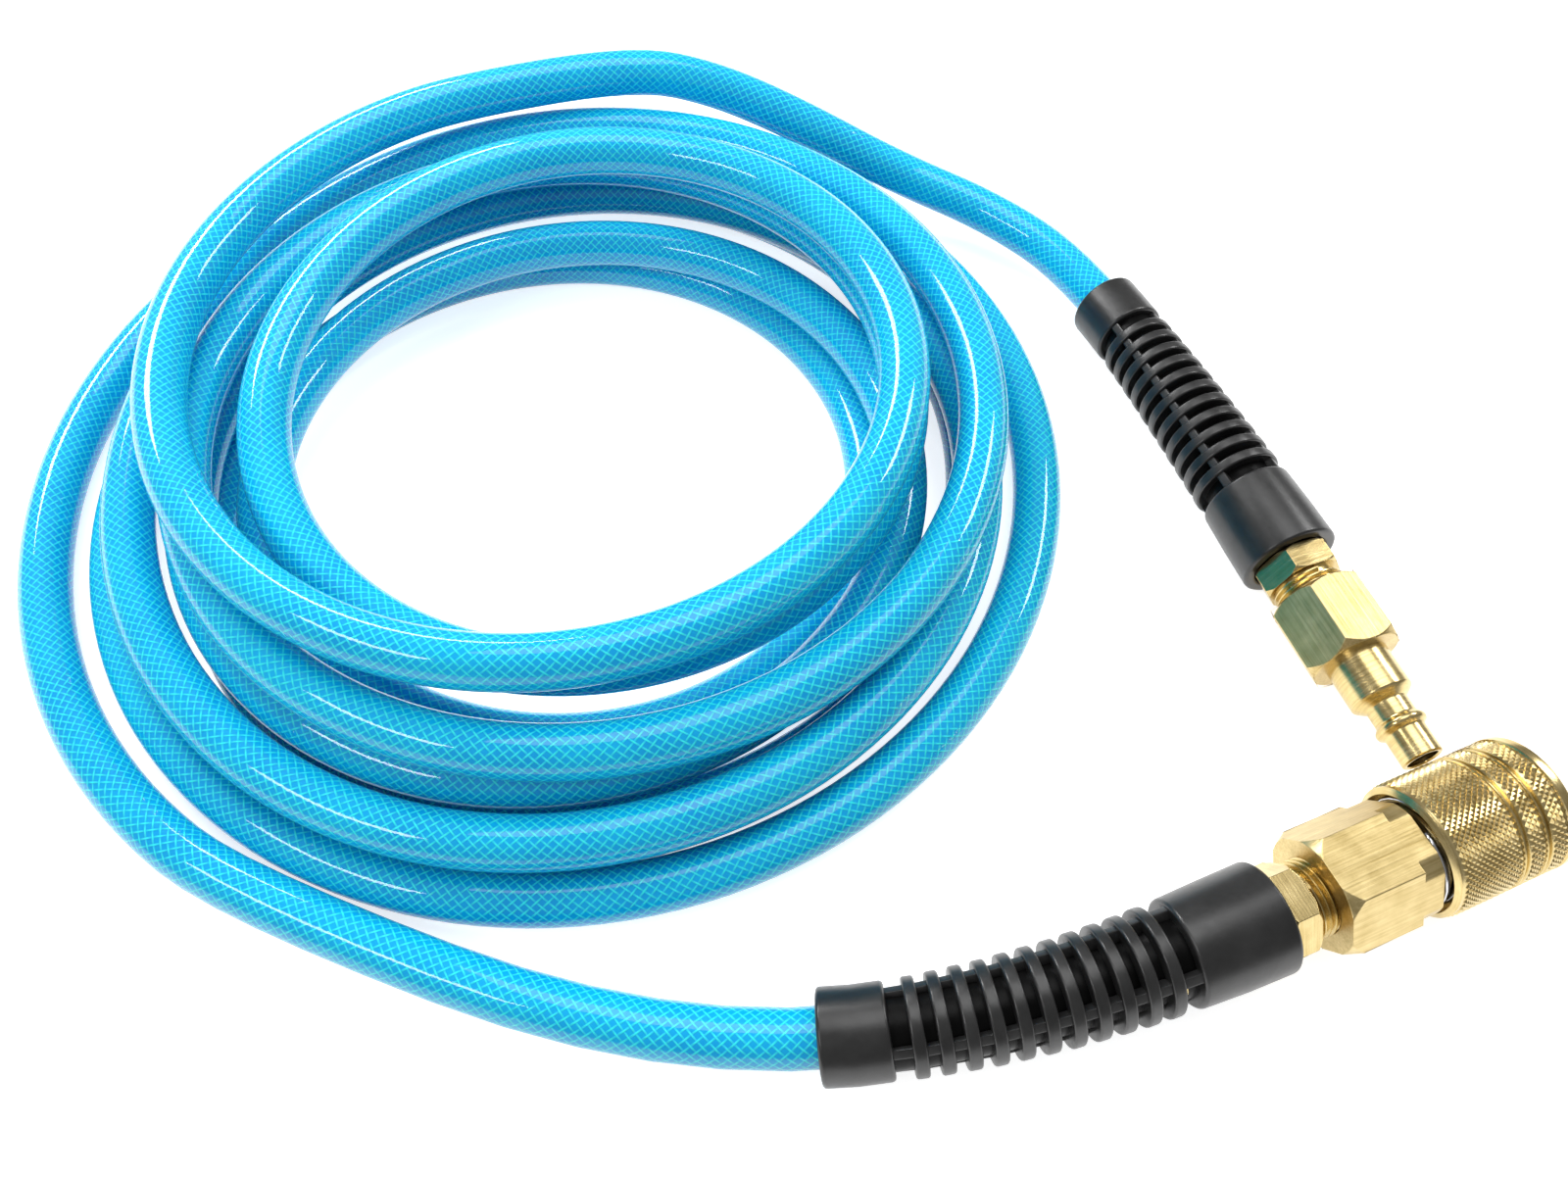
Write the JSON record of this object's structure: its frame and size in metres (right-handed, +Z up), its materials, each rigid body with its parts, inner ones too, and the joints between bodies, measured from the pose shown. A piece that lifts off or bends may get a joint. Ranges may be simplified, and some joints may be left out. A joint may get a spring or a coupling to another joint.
{
  "type": "coiled air hose",
  "caption": "Coiled braided air hose with slotted bend restrictors, a brass quick coupler at one end and a matching plug at the other.",
  "frame": {"origin": "centre of the bounding box, on the surface that the hose lies on", "axes": "+Z up from the floor; -Y towards the viewer of the picture; +X to the right, where both fittings lie"},
  "size_m": [0.2928, 0.2378, 0.0419],
  "materials": {
    "hose": "gloss",
    "restrictor": "satin",
    "brass": "machined",
    "steel": "bright",
    "seal": "matte"
  },
  "bodies": {
    "hose": {"hose_coil": "hose", "hose_tail_coupler": "hose", "hose_tail_plug": "hose", "coupler_bend_restrictor": "restrictor", "coupler_ferrule": "brass", "coupler_stem": "brass", "coupler_hex": "brass", "coupler_barrel": "brass", "coupler_valve_guide": "brass", "coupler_socket_seal": "seal", "coupler_valve_spring": "steel", "coupler_sleeve_spring": "steel", "coupler_snap_ring": "steel", "plug_bend_restrictor": "restrictor", "plug_ferrule": "brass", "plug_stem": "brass", "plug_nipple": "brass"},
    "sleeve": {"coupler_sleeve": "brass"},
    "valve": {"coupler_valve_poppet": "brass"},
    "ball_1": {"coupler_ball_1": "steel"},
    "ball_2": {"coupler_ball_2": "steel"},
    "ball_3": {"coupler_ball_3": "steel"},
    "ball_4": {"coupler_ball_4": "steel"}
  },
  "joints": [
    {"name": "sleeve_slide", "type": "slide", "parent": "hose", "child": "sleeve", "axis": [-0.9205, -0.3907, 0], "range_m": [0, 0.0035], "stiffness_N_per_m": 1500, "springref_m": -0.004, "deforming": ["coupler_sleeve_spring"]},
    {"name": "valve_slide", "type": "slide", "parent": "hose", "child": "valve", "axis": [-0.9205, -0.3907, 0], "range_m": [0, 0.0035], "stiffness_N_per_m": 800, "springref_m": -0.003, "deforming": ["coupler_valve_spring"]},
    {"name": "ball_1_slide", "type": "slide", "parent": "hose", "child": "ball_1", "axis": [-0.2763, 0.6509, 0.7071], "range_m": [0, 0.00116]},
    {"name": "ball_2_slide", "type": "slide", "parent": "hose", "child": "ball_2", "axis": [0.2763, -0.6509, 0.7071], "range_m": [0, 0.00116]},
    {"name": "ball_3_slide", "type": "slide", "parent": "hose", "child": "ball_3", "axis": [0.2763, -0.6509, -0.7071], "range_m": [0, 0.00116]},
    {"name": "ball_4_slide", "type": "slide", "parent": "hose", "child": "ball_4", "axis": [-0.2763, 0.6509, -0.7071], "range_m": [0, 0.00116]}
  ],
  "couplings": [
    {"joint": "ball_1_slide", "follows": "sleeve_slide", "ratio": 0.3314},
    {"joint": "ball_2_slide", "follows": "sleeve_slide", "ratio": 0.3314},
    {"joint": "ball_3_slide", "follows": "sleeve_slide", "ratio": 0.3314},
    {"joint": "ball_4_slide", "follows": "sleeve_slide", "ratio": 0.3314}
  ]
}
